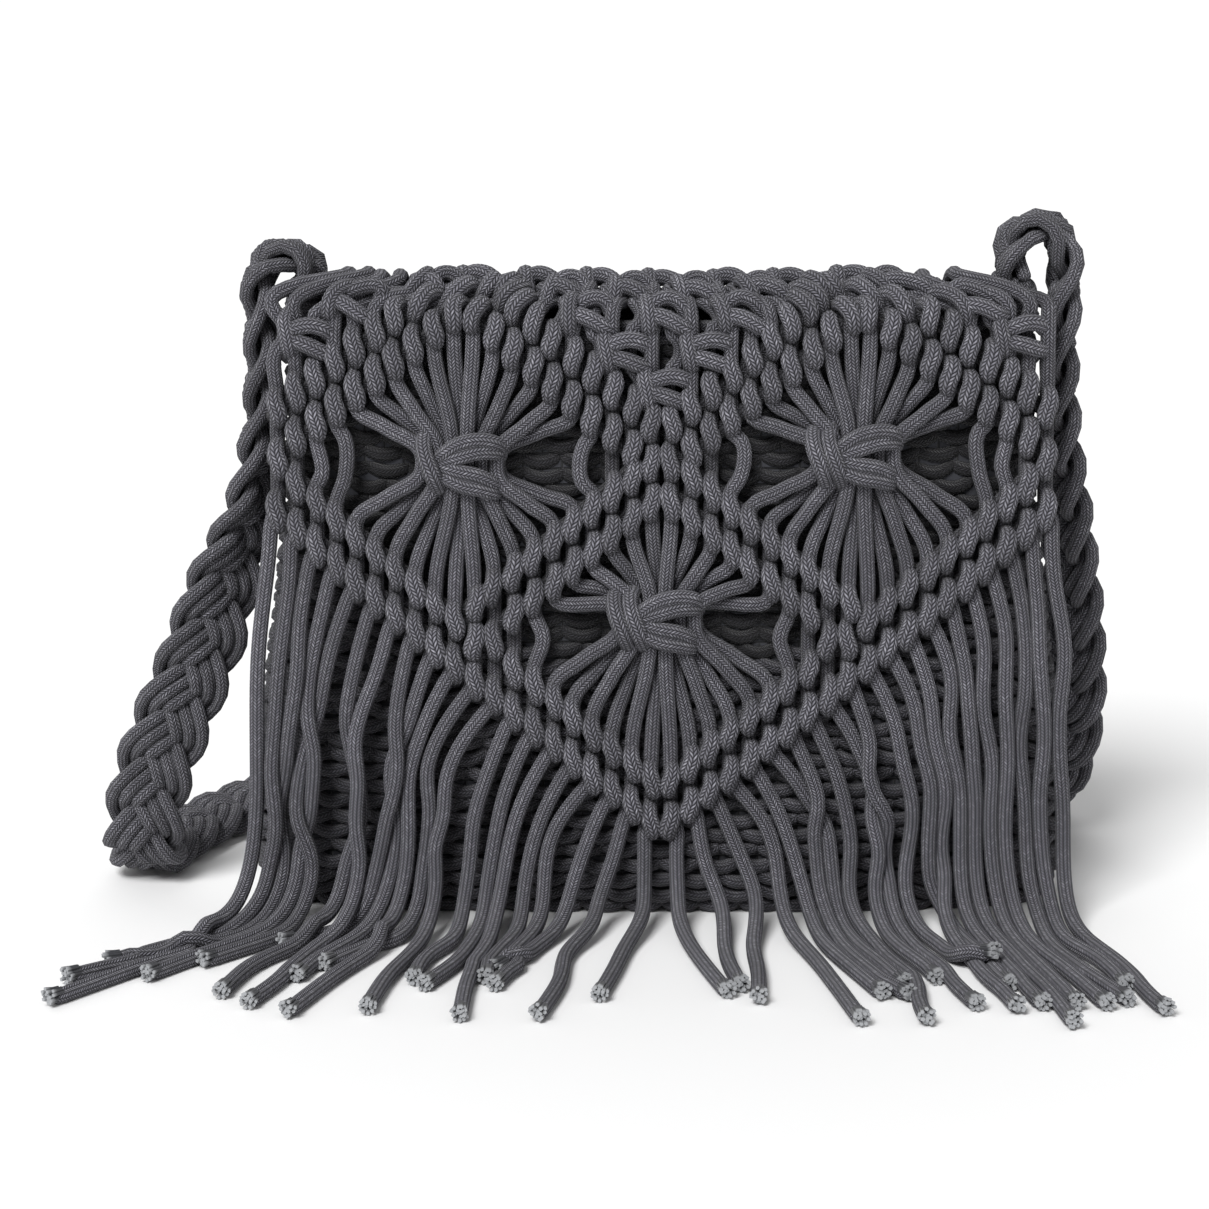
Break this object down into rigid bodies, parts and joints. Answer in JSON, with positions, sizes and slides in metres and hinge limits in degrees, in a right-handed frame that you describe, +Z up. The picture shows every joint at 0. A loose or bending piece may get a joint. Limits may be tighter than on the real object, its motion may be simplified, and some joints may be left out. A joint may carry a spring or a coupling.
{
  "type": "macrame shoulder bag",
  "caption": "Knotted cotton cord shoulder bag with a fringed flap, gathered diamond medallions and a plaited strap, standing upright.",
  "frame": {"origin": "middle of the pouch's flat base, on the surface that the bag stands on", "axes": "+Z up, -Y to the front with the flap and fringe, +X to the right as seen from the front"},
  "size_m": [0.3677, 0.3402, 0.2384],
  "materials": {
    "cotton_cord": "round braided cotton cord, dyed charcoal, matt",
    "strap_cord": "the same cord plaited in three strands, matt"
  },
  "bodies": {
    "root": {"pouch": "cotton_cord", "flap": "cotton_cord", "medallion_knot_left": "cotton_cord", "medallion_knot_right": "cotton_cord", "medallion_knot_lower": "cotton_cord", "fringe": "cotton_cord", "strap": "strap_cord", "strap_knot_left": "strap_cord", "strap_knot_right": "strap_cord"}
  },
  "joints": []
}
